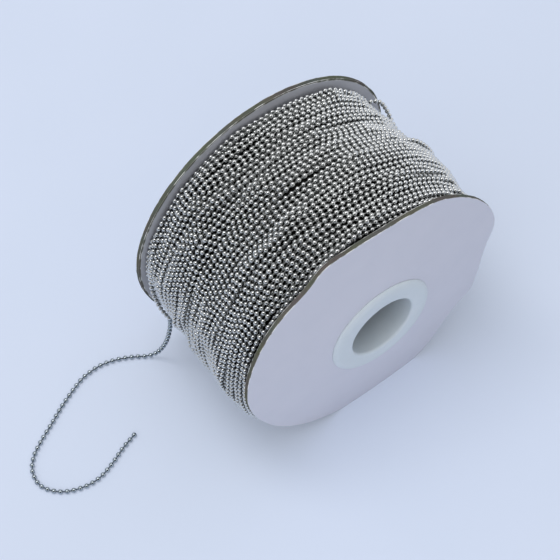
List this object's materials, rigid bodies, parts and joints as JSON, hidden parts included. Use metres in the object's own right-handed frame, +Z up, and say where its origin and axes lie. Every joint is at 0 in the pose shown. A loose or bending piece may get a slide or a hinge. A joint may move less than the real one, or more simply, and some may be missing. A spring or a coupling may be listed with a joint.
{
  "type": "ball chain reel",
  "caption": "Reel of fine metal ball chain for blind cords and pulls: two greyboard flanges, plastic bushings with an open spindle bore, a full winding and a loose end.",
  "frame": {"origin": "on the floor, under the middle of the reel", "axes": "+Z up; the reel's axis runs along Y, with the dished front flange towards -Y; the loose end lies towards -X"},
  "size_m": [0.1612, 0.07, 0.1009],
  "materials": {
    "greyboard": "smooth pale lilac-grey facing paper on greyboard, bare olive-grey board at the cut edge",
    "core_board": "plain wound paper tube",
    "white_plastic": "moulded, soft gloss, slightly translucent",
    "nickel_chain": "bright nickel-plated steel balls on wire links"
  },
  "bodies": {
    "root": {"front_flange": "greyboard", "rear_flange": "greyboard", "core_tube": "core_board", "front_bushing": "white_plastic", "rear_bushing": "white_plastic", "chain_winding": "nickel_chain", "chain_loose_end": "nickel_chain"}
  },
  "joints": []
}
